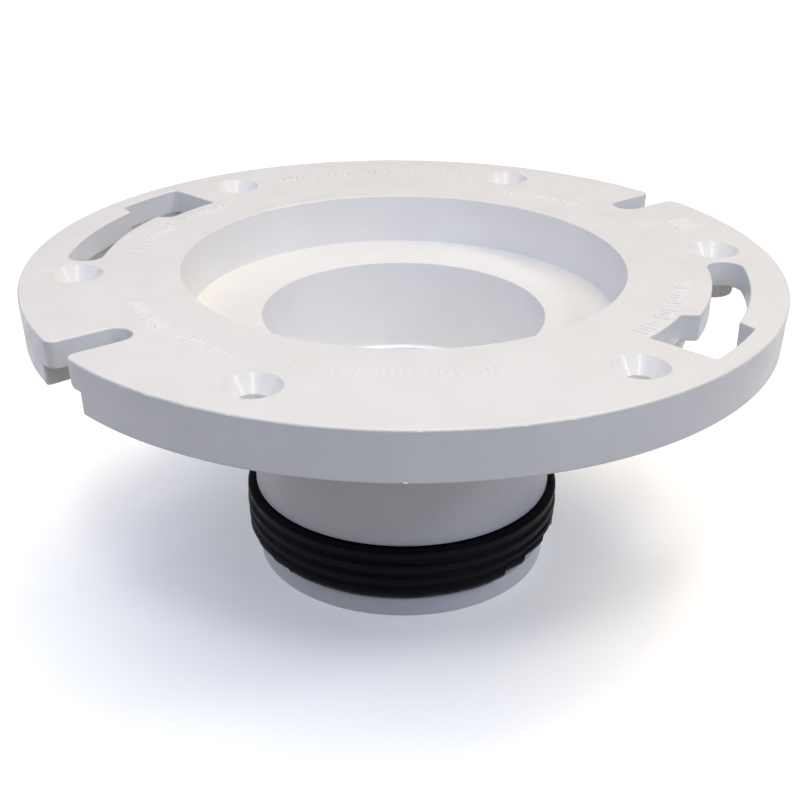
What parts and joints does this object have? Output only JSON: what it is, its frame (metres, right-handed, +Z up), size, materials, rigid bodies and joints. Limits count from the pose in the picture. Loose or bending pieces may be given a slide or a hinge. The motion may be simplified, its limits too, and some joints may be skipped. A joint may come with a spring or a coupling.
{
  "type": "toilet flange",
  "caption": "Push-in toilet flange: a round PVC deck with a wax ring bowl, keyhole bolt slots and a short spigot that seals in a drain pipe with a finned rubber gasket.",
  "frame": {"origin": "centre of the spigot's bottom rim, at the lowest point of the part", "axes": "+Z up along the bore, from the spigot to the deck; the two open notches in the deck lie on +X and -X; the keyhole slots start clockwise of each notch, seen from above"},
  "size_m": [0.1772, 0.1778, 0.0762],
  "materials": {
    "white_pvc": "satin moulded PVC, white with a slight warm cast",
    "black_rubber": "matt black moulded rubber"
  },
  "bodies": {
    "root": {"flange_body": "white_pvc", "pipe_gasket": "black_rubber"}
  },
  "joints": []
}
